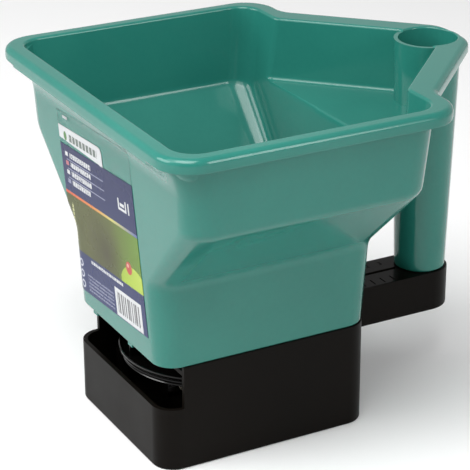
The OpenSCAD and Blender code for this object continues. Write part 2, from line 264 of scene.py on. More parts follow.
# %% Helpers for finishes
class Wire:
    """A value in a network, on which Python's operators add Math nodes."""

    def __init__(self, network, socket):
        self.network, self.socket = network, socket

    def maths(self, operation, *values):
        return self.network.node("Math", {"operation": operation}, dict(enumerate(values)))

    def __add__(self, other):
        return self.maths("ADD", self, other)

    def __sub__(self, other):
        return self.maths("SUBTRACT", self, other)

    def __rsub__(self, other):
        return self.maths("SUBTRACT", other, self)

    def __mul__(self, other):
        return self.maths("MULTIPLY", self, other)

    def __truediv__(self, other):
        return self.maths("DIVIDE", self, other)

    def __rtruediv__(self, other):
        return self.maths("DIVIDE", other, self)

    def __gt__(self, other):
        return self.maths("GREATER_THAN", self, other)

    def __lt__(self, other):
        return self.maths("LESS_THAN", self, other)

    def __or__(self, other):
        return self.maths("MAXIMUM", self, other)

    def __and__(self, other):
        return self.maths("MULTIPLY", self, other)

    def __mod__(self, other):
        return self.maths("FLOORED_MODULO", self, other)

    def root(self):
        return self.maths("SQRT", self)

    def limited(self):
        """The same value, kept between 0 and 1."""
        self.socket.node.use_clamp = True
        return self

    __radd__ = __add__
    __rmul__ = __mul__


class Network:
    """A tree of shader nodes and the one method that adds to it."""

    def __init__(self, tree):
        self.tree = tree

    def node(self, kind, settings=None, sockets=None, output=0):
        made = self.tree.nodes.new("ShaderNode" + kind)
        for key, value in (settings or {}).items():
            if key == "stops":
                self.set_stops(made.color_ramp, value)
            else:
                setattr(made, key, value)
        for key, value in (sockets or {}).items():
            if isinstance(value, Wire):
                self.tree.links.new(value.socket, made.inputs[key])
            else:
                made.inputs[key].default_value = value
        return Wire(self, made.outputs[output])

    def set_stops(self, ramp, stops):
        while len(ramp.elements) < len(stops):
            ramp.elements.new(0.5)
        for element, (place, colour) in zip(ramp.elements, stops):
            element.position = place
            element.color = colour

    def split(self, vector):
        """The three values of a vector."""
        parts = self.node("SeparateXYZ", None, {0: vector}).socket.node
        return [Wire(self, part) for part in parts.outputs]

    def mix(self, factor, first, second, blend="MIX"):
        settings = {"data_type": "RGBA", "blend_type": blend}
        return self.node("Mix", settings, {0: factor, 6: first, 7: second}, output=2)

    def noise(self, scale, detail=2.0, place=None):
        place = place or self.node("TexCoord", output="Object")
        return self.node("TexNoise", None, {"Vector": place, "Scale": scale, "Detail": detail})


class Finish(Network):
    """A material, as a network that ends in its own shader."""

    def __init__(self, name, **uniform):
        self.material = bpy.data.materials.new(name)
        self.material.use_nodes = True
        super().__init__(self.material.node_tree)
        self.shader = self.tree.nodes["Principled BSDF"]
        for socket, value in uniform.items():
            self.shader.inputs[socket.replace("_", " ")].default_value = value

    def drive(self, socket, value):
        self.tree.links.new(value.socket, self.shader.inputs[socket])

    def bump(self, height, strength, depth):
        normal = self.node("Bump", None, {"Strength": strength, "Distance": depth * MM, "Height": height})
        self.drive("Normal", normal)


def rgb(red, green, blue):
    """A colour as seen on a screen, 0 to 255, made linear for the shader."""
    parts = [c / 255 for c in (red, green, blue)]
    return (*[p / 12.92 if p < 0.04 else ((p + 0.055) / 1.055) ** 2.4 for p in parts], 1)


print("finish helpers ready")

# %% [markdown]
# ## Plastics and steel
# The hopper is polypropylene with its colour moulded in: slightly cloudy, glossy, with a fine
# ripple from the mould and a few rubbed patches. The housing is the same plastic in black with a
# satin mould surface. Both need noise at two sizes, a wide one for tone and a fine one for texture.
# A moulding may have its top face polished, which is where the housing meets the hopper.


# %% Moulded plastics
NOWHERE = 9.0
POLISH = 0.62


def moulded_plastic(name, deep, pale, gloss, spread, grain, grain_depth, polished_above=NOWHERE, **uniform):
    """Plastic between two tones, with a gloss and its spread, and a grain of some size and depth."""
    finish = Finish(name, **uniform)
    height = finish.split(finish.node("TexCoord", output="Object"))[2]
    satin = 1 - (height > polished_above) * POLISH
    cloud = finish.noise(14, 3)
    fleck = finish.noise(420, 2)
    grade = finish.node("ValToRGB", {"stops": [(0.3, deep), (0.7, pale)]}, {0: cloud * 0.8 + fleck * 0.2})
    finish.drive("Base Color", grade)
    rubbed = finish.noise(55, 4)
    finish.drive("Roughness", ((rubbed * spread + gloss) * satin).limited())
    fine = finish.noise(grain, 2)
    wide = finish.noise(70, 1)
    finish.bump(fine * 0.4 + wide * 0.45, 0.25, grain_depth)
    return finish.material


hopper_finish = moulded_plastic(
    "hopper_plastic", rgb(34, 110, 99), rgb(41, 118, 106), 0.12, 0.1, 1400, 0.05,
    Coat_Weight=0.12, Coat_Roughness=0.05, IOR=1.47, Specular_IOR_Level=0.42)
black_finish = moulded_plastic(
    "black_plastic", rgb(12, 10, 8), rgb(17, 14, 11), 0.3, 0.14, 2600, 0.08, joint_z * MM - 0.0002, IOR=1.5,
    Specular_IOR_Level=0.06)
gloss_black_finish = moulded_plastic(
    "spinner_plastic", rgb(8, 8, 7), rgb(14, 13, 12), 0.12, 0.08, 1200, 0.04, IOR=1.5)
natural_finish = moulded_plastic(
    "natural_plastic", rgb(205, 199, 180), rgb(226, 221, 204), 0.34, 0.14, 900, 0.06, IOR=1.5)
print("plastics:", hopper_finish.name, black_finish.name, gloss_black_finish.name, natural_finish.name)

# %% [markdown]
# Screws, shafts, clips and rivets are zinc-plated steel. Turned steel shows fine lines across its
# length, so a noise stretched along one axis varies the roughness, and a wide one dulls patches.


# %% Plated steel
def plated_steel(name):
    finish = Finish(name, Metallic=1.0)
    place = finish.node("TexCoord", output="Object")
    lines = finish.node("Mapping", None, {0: place, "Scale": (1.0, 1.0, 14.0)})
    brushed = finish.noise(600, 3, lines)
    dull = finish.noise(90, 3)
    grade = finish.node("ValToRGB", {"stops": [(0.35, rgb(150, 150, 148)), (0.7, rgb(196, 197, 199))]},
                        {0: dull})
    finish.drive("Base Color", grade)
    finish.drive("Roughness", (brushed * 0.22 + dull * 0.14 + 0.12).limited())
    finish.bump(brushed, 0.2, 0.03)
    return finish.material


steel_finish = plated_steel("plated_steel")
print("metal:", steel_finish.name)

# %% [markdown]
# ## The hopper's levels
# The walls stand straight up to the shoulder, run out at about 45 degrees, and stand nearly
# straight again up to the rim. A straight line that turns a corner softly is a sum of ramps whose
# starts are eased, so the same function gives the outside and the inside. The front also sweeps
# forward under the rim in a quarter hollow, and the rear opens into a pointed bay that ends at the
# tube.

# %% Level functions for the hopper
WALL = 2.5
LOW_HALF = 53.6
TRAY_HALF = 100.0
TOP_HALF = 102.4
SLOPE_START = 106.5
SLOPE_END = 150.8
FRONT_LOW, FRONT_HIGH = -53.4, -61.2
REAR_LOW, REAR_HIGH = 72.0, 84.0
OUTER_CORNERS = 12.5, 16.0
INNER_CORNERS = 10.0, 13.0
BAY_FLOOR = 157.5
OUTER_REACH = 153.7
INNER_REACH = 150.2
SWEEP_START = 168.0
SWEEP_CENTRE_Y = -81.5
SWEEP_RADIUS = 22.0
SWEEP_TURN = math.radians(68)
TUBE_FOOT, TUBE_TOP = 14.65, 18.75
TUBE_WALL = 2.3
FOOT_SOFT, HEAD_SOFT = 4.2, 2.6
lean = math.atan2(FRONT_LOW - FRONT_HIGH, rim_z - joint_z)


def share_of_height(z):
    return (z - joint_z) / (rim_z - joint_z)


def front_at(z):
    return FRONT_LOW + (FRONT_HIGH - FRONT_LOW) * share_of_height(z)


def rear_at(z):
    return REAR_LOW + (REAR_HIGH - REAR_LOW) * share_of_height(z)


def tube_radius_at(z):
    return TUBE_FOOT + (TUBE_TOP - TUBE_FOOT) * share_of_height(z)


def eased_ramp(distance, ease):
    """Zero, then a straight rise, with a soft start of some length."""
    if distance < -ease:
        return 0.0
    return (distance + ease) ** 2 / (4 * ease) if distance < ease else distance


def half_at(z, foot_soft=FOOT_SOFT, head_soft=HEAD_SOFT):
    slope = (TRAY_HALF - LOW_HALF) / (SLOPE_END - SLOPE_START)
    upper = (TOP_HALF - TRAY_HALF) / (rim_z - SLOPE_END)
    return (LOW_HALF + slope * eased_ramp(z - SLOPE_START, foot_soft)
            + (upper - slope) * eased_ramp(z - SLOPE_END, head_soft))


def corner_at(z, low, high):
    """The radius of the upright corners, which grows up the slope."""
    share = min(max((z - SLOPE_START) / (SLOPE_END - SLOPE_START), 0), 1)
    return low + (high - low) * share


print(f"half width at the shoulder {half_at(SLOPE_START):.1f} mm, at the rim {half_at(rim_z):.1f} mm")

# %% [markdown]
# An outline is given by its right-hand corners and mirrored, so both sides stay alike. Next to the
# front corners it has an extra stretch, over which the front's profile fades into the side's.

# %% Outlines of the walls
FADE = 14.0


def meets_tube(reach, radius):
    """Where a bay wall, on which x + y is the reach, runs into the tube."""
    short = reach - tube_y
    x = (2 * short + math.sqrt(4 * short ** 2 - 8 * (short ** 2 - radius ** 2))) / 4
    return x, reach - x


def mirrored_outline(right, cuts):
    """The right-hand corners and cuts, with the same ones mirrored on the left."""
    left = [(-x, y) for x, y in reversed(right)]
    return rounded_outline(right + left, cuts + cuts[::-1])


def wall_outline(half, front, rear, radius, reach, tube_radius, bay=1.0, soft=3.0):
    """One level of the walls. The share called bay opens the rear into the pointed bay."""
    shoulder = min(reach - rear, half - radius - 5)
    tip_x, tip_y = meets_tube(reach, tube_radius)
    back = rear + (tip_y - rear) * bay
    inner = [(tip_x, back), (8, back)]
    right = [(half - radius - FADE, front), (half, front), (half, rear), (shoulder, rear)] + inner
    return mirrored_outline(right, [FADE / 2, radius, radius, soft, 1, 1])


# %% Outline of the rim
RIM_REAR = 92.8
RIM_REACH = 172.4
RIM_CORNER = 20.0
BAY_TURN, COLLAR_TURN = 6, 3.2
BACK_ARC = 70.0


def rim_outline(inset):
    """The rim's outer edge, moved inwards by an inset."""
    half, front, rear = rim_half - inset, rim_front + inset, RIM_REAR - inset
    reach, arc, centre = RIM_REACH - inset * math.sqrt(2), BACK_ARC - inset, collar_back - BACK_ARC
    short = reach - centre
    tip_x = (short - math.sqrt(2 * arc ** 2 - short ** 2)) / 2
    tip_y = reach - tip_x
    spread = math.atan2(tip_x, tip_y - centre) / 2
    peak = (arc * math.tan(spread), collar_back - inset)
    radius = RIM_CORNER - inset
    right = [(half - radius - FADE, front), (half, front), (half, rear), (reach - rear, rear),
             (tip_x, tip_y), peak]
    back_cut = arc * math.tan(spread) - 4
    return mirrored_outline(right, [FADE / 2, radius, radius, BAY_TURN, COLLAR_TURN, back_cut])


# %% Shares of the front and side profiles
LIP_FULL, LIP_GONE = 19.0, 38.0
CORNERS = 12


def share_along(run):
    """How far a point belongs to the front profile, from its run past the end of the side."""
    rise = min(max((run - LIP_FULL) / (LIP_GONE - LIP_FULL), 0), 1)
    return rise * rise * (3 - 2 * rise)


corner_run = RIM_CORNER * math.pi / 2
ring_points = len(rim_outline(0))
arc_points = ring_points // CORNERS
front_share = [0.0] * ring_points
for step in range(arc_points):
    back_step = arc_points - 1 - step
    along_fade = share_along(corner_run + FADE / 2 + FADE * back_step / CORNER_STEPS)
    along_corner = share_along(corner_run * back_step / CORNER_STEPS)
    for place, share in ((step, along_fade), (arc_points + step, along_corner)):
        front_share[place] = front_share[ring_points - 1 - place] = share


def blended(side, front):
    """Takes each point from the front profile on the front, from the side profile elsewhere."""
    return [s.lerp(f, share) for s, f, share in zip(side, front, front_share)]


print("points round the hopper:", len(front_share))

# %% [markdown]
# ## Growing the hopper
# The hopper is one closed skin: up the outside, out under the rim, down and round its rolled lip,
# over the top and down the inside to the floor. On the front there is no lip. There the wall
# itself sweeps out to the edge of the rim, so the two profiles are blended round the front corners.

# %% Outside of the walls
LIP_HEIGHT = 7.6
LIP_WALL = 2.2
PLATE = 2.5
OUTER_ROLL = 3.4
INNER_ROLL = 1.5


def outside(z, bay=0.0, trim=0.0, reach=OUTER_REACH):
    return wall_outline(half_at(z) - trim, front_at(z) + trim, rear_at(z) - trim,
                        corner_at(z, *OUTER_CORNERS), reach, tube_radius_at(z), bay)


def steps_between(low, high, count):
    return [low + (high - low) * i / count for i in range(count + 1)]


outer_levels = [joint_z + 0.7, 75, 90]
outer_levels += steps_between(SLOPE_START - FOOT_SOFT, SLOPE_START + FOOT_SOFT, 8)
outer_levels += [126, 137] + steps_between(SLOPE_END - HEAD_SOFT, SLOPE_END + HEAD_SOFT, 5)
hopper_skin = Skin(at_level(outside(joint_z, trim=0.7), joint_z))
hopper_skin.cap()
hopper_skin.grow(at_level(outside(joint_z + 0.2, trim=0.2), joint_z + 0.2))
for z in outer_levels:
    hopper_skin.grow(at_level(outside(z), z))
# the bay's underside, with a soft edge where it turns up into the bay's walls
for rise, bay, back in ((-0.9, 0, 0), (-0.6, 1, 2.6), (0, 1, 0.9), (1.4, 1, 0), (6.5, 1, 0)):
    z = BAY_FLOOR + rise
    hopper_skin.grow(at_level(outside(z, bay, reach=OUTER_REACH - back), z))
print("rings up the outside:", len(outer_levels) + 7)

# %% [markdown]
# The sweep is a quarter hollow with its centre in front of the wall. It starts at the wall's own
# lean, so no crease shows where the two meet. Round the other sides the lip hangs down outside the
# wall, as on a bucket, and its lower edge is rounded. The top is a roll with a large radius.

# %% Front sweep
SWEEP_STEPS = 13
under_plate = rim_z - PLATE
for step in range(SWEEP_STEPS + 1):
    share = step / SWEEP_STEPS
    angle = lean + (SWEEP_TURN - lean) * share
    side_z = SWEEP_START + (under_plate - 0.6 - SWEEP_START) * share
    front_z = SWEEP_START + SWEEP_RADIUS * math.sin(angle)
    front_y = SWEEP_CENTRE_Y + SWEEP_RADIUS * math.cos(angle)
    reached = (front_at(SWEEP_START) - front_y) / (front_at(SWEEP_START) - rim_front)
    swept_half = half_at(front_z) + (rim_half - 0.3 - half_at(front_z)) * reached
    swept_corner = OUTER_CORNERS[1] + 4 * reached
    sweep = wall_outline(swept_half, front_y, rear_at(front_z), swept_corner, OUTER_REACH,
                         tube_radius_at(front_z))
    hopper_skin.grow(blended(at_level(outside(side_z, bay=1.0), side_z), at_level(sweep, front_z)))
sweep_end = SWEEP_START + SWEEP_RADIUS * math.sin(SWEEP_TURN)
print("the sweep ends", round(rim_z - sweep_end, 1), "mm below the rim")

# %% Rolled lip
lip_bottom = rim_z - LIP_HEIGHT
lip_path = [(LIP_WALL + 2.0, under_plate), (LIP_WALL + 0.4, under_plate - 0.3),
            (LIP_WALL, under_plate - 1.0), (LIP_WALL, lip_bottom + 0.7), (LIP_WALL - 0.4, lip_bottom + 0.1),
            (LIP_WALL / 2, lip_bottom), (0.4, lip_bottom + 0.2), (0.0, lip_bottom + 1.0)]
for step, (inset, z) in enumerate(lip_path):
    creep = (step + 1) / len(lip_path)
    front_z = sweep_end + (lip_bottom + 1.0 - sweep_end) * creep
    front_edge = at_level(rim_outline(0.24 * (1 - creep)), front_z)
    hopper_skin.grow(blended(at_level(rim_outline(inset), z), front_edge))
ROLL_STEPS = 7
for step in range(ROLL_STEPS + 1):
    angle = math.radians(90 * step / ROLL_STEPS)
    inset = OUTER_ROLL * (1 - math.cos(angle))
    hopper_skin.grow(at_level(rim_outline(inset), rim_z - OUTER_ROLL * (1 - math.sin(angle))))
print("the lip's lowest edge is", round(lip_bottom, 1), "mm above the ground")

# %% [markdown]
# The inside follows the outside at one wall's distance, with softer turns, because a mould's core
# is rounded more than its cavity. The bay ends in a floor of its own, so there the rings draw back
# from the tube to the rear wall within a fraction of a millimetre.

# %% Inside of the walls
MOUTH_FRONT = -63.2
SWEEP_INNER = SWEEP_RADIUS + WALL
INNER_FLOOR = joint_z + WALL
BAY_INNER_FLOOR = BAY_FLOOR + WALL
INNER_LIFT = 1.0
INNER_FOOT_SOFT, INNER_HEAD_SOFT = 6.0, 2.2
TUBE_OVERLAP = 0.1


def inner_front_at(z):
    if z < SWEEP_START:
        return front_at(z) + WALL
    hollow = SWEEP_CENTRE_Y + math.sqrt(max(SWEEP_INNER ** 2 - (z - SWEEP_START) ** 2, 0))
    return max(hollow, MOUTH_FRONT)


def inside(z, bay=1.0, trim=0.0, reach=INNER_REACH, soft=3.0):
    half = half_at(z - INNER_LIFT, INNER_FOOT_SOFT, INNER_HEAD_SOFT)
    return wall_outline(half - WALL - trim, inner_front_at(z) + trim, rear_at(z) - WALL - trim,
                        corner_at(z, *INNER_CORNERS) - trim / 2, reach,
                        tube_radius_at(z) - TUBE_OVERLAP, bay, soft)


for step in range(ROLL_STEPS + 1):
    angle = math.radians(90 * step / ROLL_STEPS)
    grown = INNER_ROLL * (1 - math.sin(angle))
    z = rim_z - INNER_ROLL * (1 - math.cos(angle))
    mouth = wall_outline(half_at(z) - WALL + grown, MOUTH_FRONT - grown, rear_at(z) - WALL + grown,
                         INNER_CORNERS[1] + grown, INNER_REACH + grown * math.sqrt(2),
                         TUBE_TOP - TUBE_OVERLAP)
    hopper_skin.grow(at_level(mouth, z))
for z in steps_between(rim_z - 5, SWEEP_START, 11):
    hopper_skin.grow(at_level(inside(z), z))
# the bay's floor, rounded up into its walls and then drawn back to the rear wall
for lift, back in ((2.4, 0.0), (1.2, 0.35), (0.35, 1.2), (0.05, 2.4)):
    z = BAY_INNER_FLOOR + lift
    hopper_skin.grow(at_level(inside(z, reach=INNER_REACH - back), z))
for drop, bay in ((0.06, 0.035), (0.35, 0.012), (1.2, 0.0)):
    z = BAY_INNER_FLOOR - drop
    hopper_skin.grow(at_level(inside(z, bay=bay), z))
print("the bay's floor is", round(rim_z - BAY_INNER_FLOOR, 1), "mm below the rim")

# %% Inside down to the floor
inner_levels = steps_between(SLOPE_END + 5, SLOPE_END - 3.4, 6) + [138, 127]
inner_levels += steps_between(SLOPE_START + 9, SLOPE_START - 7, 7) + [86, 74, INNER_FLOOR + 2.5]
for z in inner_levels:
    hopper_skin.grow(at_level(inside(z, bay=0.0), z))
# a rounded turn into the floor
for lift, trim in ((1.2, 0.35), (0.35, 1.2), (0.0, 2.5)):
    hopper_skin.grow(at_level(inside(INNER_FLOOR + lift, bay=0.0, trim=trim), INNER_FLOOR + lift))
hopper_skin.cap()
bmesh.ops.recalc_face_normals(hopper_skin.mesh, faces=hopper_skin.mesh.faces[:])
print("hopper skin:", len(hopper_skin.mesh.faces), "faces")

# %% [markdown]
# ## The tube, its bore and the floor's openings
# The grip is a slightly tapered tube that meets the rim in a collar. Its outside is joined to the
# skin and its bore is cut through both, with a rolled mouth so that the edge takes a highlight. The
# floor gets two windows for the seed, a hole for the spinner's shaft and four screw bosses.

# %% Join the tube, cut the bore
hopper = as_object(hopper_skin.mesh, "hopper_moulding")
TUBE_STEPS = 96
MOUTH_ROLL = 1.1
tube_centre = (0, tube_y, 0)
tube_top = rim_z - 1.0
tube = [(0, joint_z), (TUBE_FOOT - 0.7, joint_z), (TUBE_FOOT, joint_z + 0.7), (TUBE_TOP - 0.03, tube_top),
        (0, tube_top)]
combine(hopper, turned(tube, tube_centre, steps=TUBE_STEPS), "UNION")
bore_foot, bore_top = TUBE_FOOT - TUBE_WALL, TUBE_TOP - TUBE_WALL
bore = [(0, INNER_FLOOR), (bore_foot - 1.2, INNER_FLOOR), (bore_foot, INNER_FLOOR + 1.2)]
for degrees in (0, 22, 45, 67, 88):
    turn = math.radians(degrees)
    bore.append((bore_top + MOUTH_ROLL * (1 - math.cos(turn)), rim_z - MOUTH_ROLL * (1 - math.sin(turn))))
bore += [(bore_top + 1.2, rim_z + 2), (0, rim_z + 2)]
combine(hopper, turned(bore, tube_centre, steps=TUBE_STEPS), "DIFFERENCE")
print("bore radius at the top:", round(bore_top, 2), "mm")

# %% Bosses on the floor
BOSS_X, BOSS_FRONT, BOSS_REAR = 38, -36, 56


def boss(radius, height, inset, drop, centre=(0, 0, 0), steps=48):
    """A round boss on the hopper's floor, with a broken edge."""
    low, high = joint_z + 1, joint_z + height
    return turned([(0, low), (radius, low), (radius, high - drop), (radius - inset, high), (0, high)],
                  centre, steps=steps)


for x in (-BOSS_X, BOSS_X):
    for y in (BOSS_FRONT, BOSS_REAR):
        combine(hopper, boss(3.6, 11, 0.5, 0.7, (x, y, 0), 32), "UNION")
combine(hopper, boss(9.5, 3.2, 0.4, 0.4), "UNION")
print("bosses: 4 for screws, 1 round the shaft")

# %% Windows, the shaft's hole and the front tabs
WINDOW_NEAR, WINDOW_FAR, WINDOW_FRONT, WINDOW_REAR = 8, 24, -30, -6
SHAFT_HOLE = 6
TAB_WIDE = 5
windows = bmesh.new()
for side in (-1, 1):
    block(windows, sorted((side * WINDOW_NEAR, side * WINDOW_FAR)), (WINDOW_FRONT, WINDOW_REAR),
          (joint_z - 1, joint_z + 5))
combine(hopper, windows, "DIFFERENCE")
low, high = joint_z - 1, joint_z + 6
combine(hopper, turned([(0, low), (SHAFT_HOLE, low), (SHAFT_HOLE, high), (0, high)], steps=48), "DIFFERENCE")
tabs = bmesh.new()
for x in (-32, 12):
    block(tabs, (x, x + TAB_WIDE), (FRONT_LOW + 0.2, FRONT_LOW + 2.4), (joint_z - 1.6, joint_z + 0.1))
combine(hopper, tabs, "UNION")
smooth(hopper, 38)
dress(hopper, "frame", hopper_finish, "hopper_plastic", "hopper")

# %% [markdown]
# ## The label
# The front carries a printed label on clear film, stuck on slightly turned. It is a thin sheet that
# follows the front wall and the start of the sweep. All its shapes are drawn by the finish, from
# the sheet's own flat coordinates in millimetres. The lettering of a real label isn't reproduced:
# plain bars stand for lines of print, and simple shapes for pictures.

# %% Label sheet
LABEL_WIDE, LABEL_HIGH = 90.0, 103.5
LABEL_LEFT, LABEL_UP = -50.1, 8.2
LABEL_TURN = math.radians(3.8)
FILM = 0.16
OFF_WALL = 0.08
EDGE_SHOWN = 0.5


def surface_front(x, z):
    """The front wall, rounded back at its corners and swept forward under the rim."""
    corner = corner_at(z, *OUTER_CORNERS)
    past = max(abs(x) - (half_at(z) - corner), 0)
    wall = front_at(z) + corner - math.sqrt(max(corner ** 2 - past ** 2, 0))
    if z < SWEEP_START:
        return wall
    return min(wall, SWEEP_CENTRE_Y + math.sqrt(max(SWEEP_RADIUS ** 2 - (z - SWEEP_START) ** 2, 0)))


film = bmesh.new()
film.loops.layers.uv.new("flat")
bmesh.ops.create_grid(film, x_segments=40, y_segments=60, size=0.5, calc_uvs=True)
for vert in film.verts:
    across, up = (vert.co.x + 0.5) * LABEL_WIDE, (vert.co.y + 0.5) * LABEL_HIGH
    x = LABEL_LEFT + across * math.cos(LABEL_TURN) - up * math.sin(LABEL_TURN)
    rise = LABEL_UP + across * math.sin(LABEL_TURN) + up * math.cos(LABEL_TURN)
    z = joint_z + rise * math.cos(lean)
    vert.co = Vector((x, surface_front(x, z) - OFF_WALL, z)) * MM
bmesh.ops.recalc_face_normals(film, faces=film.faces[:])
if sum(face.normal.y for face in film.faces) > 0:
    bmesh.ops.reverse_faces(film, faces=film.faces[:])
label = as_object(film, "front_film")
thicken = label.modifiers.new("film", "SOLIDIFY")
thicken.thickness = FILM * MM
thicken.offset = 1
settle(label)
print("label sheet:", LABEL_WIDE, "by", LABEL_HIGH, "mm")


# %% [markdown]
# The print is built up like ink: each shape is a mask, and a mask lays its colour over what is
# there already. Two kinds of mask are enough, an upright rectangle and an oval. Rows of print are
# rectangles broken by a regular gap and by a fine noise, so they look like small worn lettering.

# %% Shapes of the print
class Print:
    """The label's print, drawn in the sheet's own flat millimetres."""

    def __init__(self, finish):
        self.finish = finish
        across, up = finish.split(finish.node("UVMap", {"uv_map": "flat"}))[:2]
        self.x, self.y = across * LABEL_WIDE, up * LABEL_HIGH
        self.ragged = finish.noise(900, 1)
        self.paint = None

    def area(self, left, right, low, high):
        return (self.x > left) & (self.x < right) & (self.y > low) & (self.y < high)

    def disc(self, centre_x, centre_y, wide, high):
        across, up = (self.x - centre_x) / wide, (self.y - centre_y) / high
        return (across * across + up * up) < 1

    def words(self, shape, pitch, filled, wear):
        """A row of print: a shape with regular gaps, and worn away here and there."""
        return shape & ((self.x % pitch) < filled) & (self.ragged > wear)

    def ramp(self, *stops):
        return self.finish.node("ValToRGB", {"stops": stops}, {0: self.x / LABEL_WIDE})

    def ink(self, shape, colour):
        self.paint = self.finish.mix(shape, self.paint, colour)


WHITE, GREY = rgb(226, 228, 230), rgb(150, 154, 180)
NAVY, SKY = rgb(42, 48, 92), rgb(48, 58, 106)
PRINT_TOP = 84.5
print("label shapes: rectangles, ovals and rows")


# %% Picture on the label
PICTURE_LOW, PICTURE_HIGH = 24, 56.6


def draw_picture(label):
    """A meadow, olive on the left and bright on the right, with a leaf and a round berry."""
    finish = label.finish
    ground = label.ramp((0.0, rgb(84, 88, 46)), (0.35, rgb(88, 90, 46)), (0.62, rgb(96, 106, 44)),
                        (1.0, rgb(112, 150, 50)))
    blur_x, blur_y = (label.x - 47) / 24, (label.y - 34) / 26
    haze = (1 - (blur_x * blur_x + blur_y * blur_y).root()).limited()
    meadow = finish.mix(haze * 0.8, ground, rgb(58, 46, 42))
    meadow = finish.mix(finish.noise(60, 2) * 0.25, meadow, rgb(104, 112, 52))
    label.ink(label.area(0, LABEL_WIDE, PICTURE_LOW, PICTURE_HIGH), meadow)
    ribbon = label.ramp((0.0, rgb(214, 88, 66)), (0.4, rgb(226, 140, 70)), (0.66, rgb(214, 206, 120)),
                        (1.0, rgb(96, 112, 170)))
    label.ink(label.area(0, LABEL_WIDE, PICTURE_HIGH - 0.8, PICTURE_HIGH + 0.8), ribbon)
    leaf = label.disc(80, 20, 18, 16) & label.area(64, LABEL_WIDE, PICTURE_LOW, 40)
    label.ink(leaf, finish.mix(((label.x - 64) / 26).limited(), rgb(168, 196, 62), rgb(190, 214, 84)))
    label.ink(label.disc(75, 34.5, 3.6, 3.6), rgb(196, 84, 74))
    label.ink(label.disc(74, 35.7, 1.3, 1.1), rgb(236, 176, 160))


print("picture band:", PICTURE_HIGH - PICTURE_LOW, "mm high")


# %% Rows and marks on the label
def draw_upper_rows(label):
    """Four rows, each a small flag, a bar of print and a rule, and a cup that stands for the capacity."""
    flags = (WHITE, rgb(196, 120, 130), WHITE, GREY)
    for row, length in enumerate((38, 37, 37, 35)):
        level = 79.3 - row * 5.25
        label.ink(label.area(5, 8.6, level - 1.1, level + 1.3), flags[row])
        label.ink(label.words(label.area(11, length, level - 1.4, level + 1.5), 2.5, 2.0, 0.36), WHITE)
        if row < 3:
            label.ink(label.area(6.5, 53.5, level - 3.2, level - 2.6), GREY)
    cup = label.area(70, 80, 66.2, 72.6) & (1 - label.area(71.4, 78.6, 67.6, 73))
    level_in_cup, upright_bar = label.area(72.4, 77.6, 68.6, 70.4), label.area(82, 83.4, 66.2, 72.6)
    label.ink(cup | level_in_cup | upright_bar, WHITE)


def draw_lower_marks(label):
    """A column beside the picture, a heading, small print, three rings and a panel of upright lines."""
    column = label.area(6.2, 8.2, 29, 51) & ((label.y % 2.2) < 1.7) & (label.ragged > 0.4)
    label.ink(column, rgb(206, 208, 150))
    label.ink(label.words(label.area(24, 64.5, 20.6, 22.4), 2.1, 1.6, 0.35), WHITE)
    for row in range(5):
        level = 11.6 - row * 2.2
        label.ink(label.words(label.area(17, 50, level - 0.5, level + 0.6), 1.7, 1.3, 0.4), GREY)
    for level in (17.0, 10.6, 4.4):
        ring = label.disc(9.6, level, 2.6, 2.4) & (1 - label.disc(9.6, level, 1.5, 1.4))
        label.ink(ring, rgb(206, 210, 224))
    label.ink(label.area(52.5, 85, 0.4, 17), WHITE)
    lines = ((label.x % 2.6) < 1.1) | (((label.x + 0.9) % 4.1) < 0.9)
    label.ink(label.area(55, 82.6, 2.6, 14.8) & lines, rgb(112, 112, 114))


# %% [markdown]
# Above the print lies a slanted white tag with a round end, and a small mark, on clear film. The film
# is almost invisible there, so Alpha is low except under ink, and only its cut edge shows. Ink on
# clear film looks deeper over a coloured wall, which a last thin layer of dark colour copies.

# %% Label finish
def label_print():
    finish = Finish("label_film", IOR=1.46, Specular_IOR_Level=0.15)
    label = Print(finish)
    printed = label.area(0, LABEL_WIDE, 0, PRINT_TOP)
    slanted = label.area(0, 52, PRINT_TOP, 95) & (label.y + label.x * 0.055 > 87.6)
    tag = slanted | label.disc(51.5, 91.2, 3.6, 3.6) | label.area(51, 55.1, PRINT_TOP, 91.2)
    mark = label.area(7, 13.5, 99.9, 101.5) & ((label.x % 1.9) < 1.4)
    tint = finish.mix((label.y / PRINT_TOP).limited(), SKY, NAVY)
    label.paint = finish.mix(finish.noise(30, 2) * 0.25, tint, NAVY)
    draw_picture(label)
    draw_upper_rows(label)
    draw_lower_marks(label)
    label.ink(tag, WHITE)
    label.ink(label.disc(8.0, 89.8, 2.0, 2.6), rgb(96, 140, 84))
    label.ink(label.words(label.area(13, 49, 87.8, 91.9), 4.4, 3.3, 0.3), rgb(120, 130, 124))
    label.ink(mark, WHITE)
    clear = finish.mix(finish.noise(700, 2) * 0.2, rgb(120, 172, 162), rgb(150, 190, 182))
    solid = (printed | tag | mark).limited()
    sides = (label.x < EDGE_SHOWN) | (label.x > LABEL_WIDE - EDGE_SHOWN)
    edge = sides | (label.y > LABEL_HIGH - EDGE_SHOWN)
    finish.drive("Base Color", finish.mix(0.3, finish.mix(solid, clear, label.paint), rgb(8, 16, 15)))
    finish.drive("Alpha", (solid + edge * 0.22 + 0.04).limited())
    finish.drive("Roughness", (finish.noise(40, 3) * 0.14 + 0.2).limited())
    finish.bump(finish.noise(160, 2), 0.15, 0.05)
    return finish.material


smooth(label)
dress(label, "frame", label_print(), "label_film", "front_label")

# %% [markdown]
# ## The housing
# The housing is a square sleeve with rounded corners, open at the bottom, and a hollow arm behind
# it that carries the foot of the tube. Each is its own skin, and they are joined. The discharge
# notch, the slider's slot and the scale are cut afterwards, and then a fine bevel breaks the edges.

# %% Outlines of the housing
HOUSING_CORNER = 12.5
HOUSING_REAR = 72.3
ARM_START = HOUSING_REAR - 1.6
ARM_BOTTOM = 35.7
EDGE = 0.8


